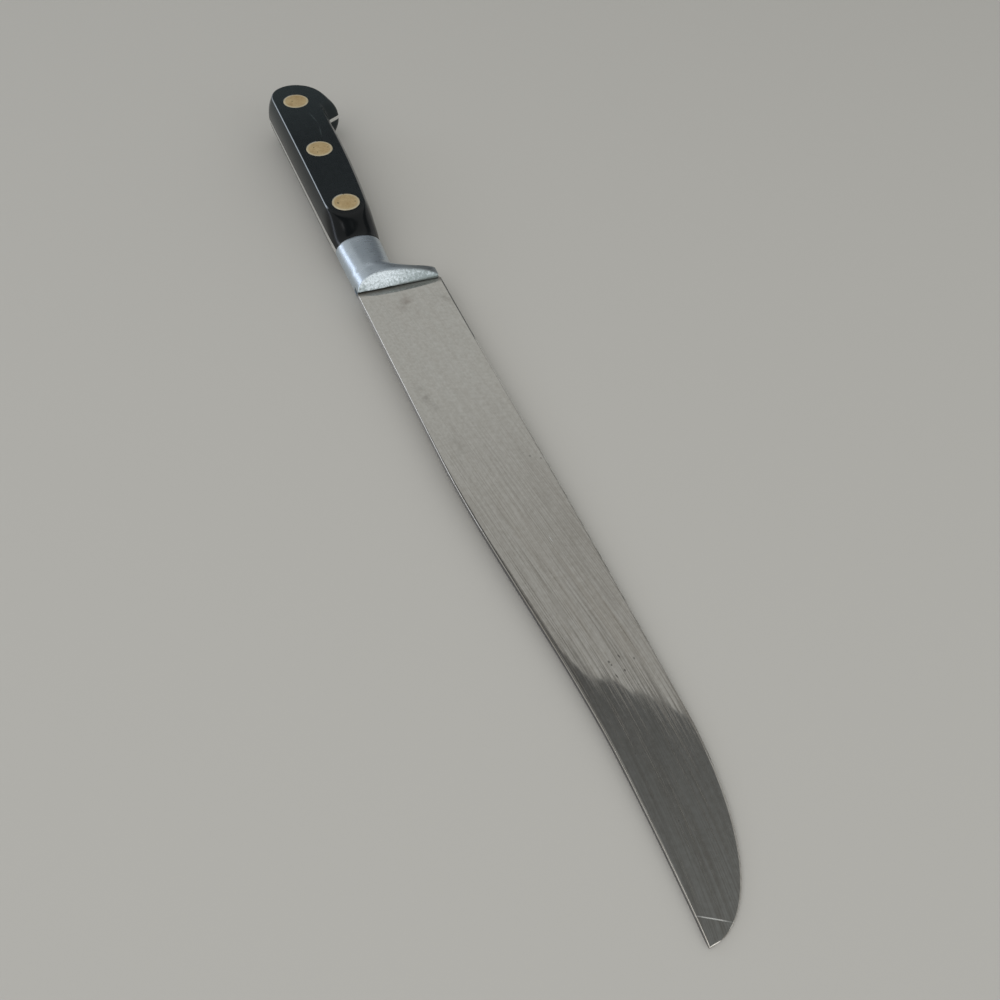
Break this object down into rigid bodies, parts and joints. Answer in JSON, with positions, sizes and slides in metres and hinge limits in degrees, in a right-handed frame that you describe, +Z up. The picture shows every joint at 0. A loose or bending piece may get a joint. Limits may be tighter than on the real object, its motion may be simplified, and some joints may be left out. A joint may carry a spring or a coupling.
{
  "type": "carving knife",
  "caption": "Carving knife with a slim S-curved blade, a flared metal bolster at the heel, and black riveted scales with a beak at the butt.",
  "frame": {"origin": "bottom centre of the knife's box, as the knife lies on its side on the flat of the far scale", "axes": "+X from the butt to the tip, +Y from the spine towards the cutting edge, +Z up, square to the flat of the handle"},
  "size_m": [0.3092, 0.0308, 0.015],
  "materials": {
    "blade_steel": "satin, ground along the blade",
    "bolster_metal": "satin, with a rough cast front face",
    "scale": "satin black",
    "rivet_brass": "ground flush, dulled"
  },
  "bodies": {
    "root": {"blade": "blade_steel", "bolster": "bolster_metal", "near_scale": "scale", "far_scale": "scale", "front_rivet_post": "rivet_brass", "middle_rivet_post": "rivet_brass", "rear_rivet_post": "rivet_brass", "front_rivet_socket": "rivet_brass", "middle_rivet_socket": "rivet_brass", "rear_rivet_socket": "rivet_brass"}
  },
  "joints": []
}
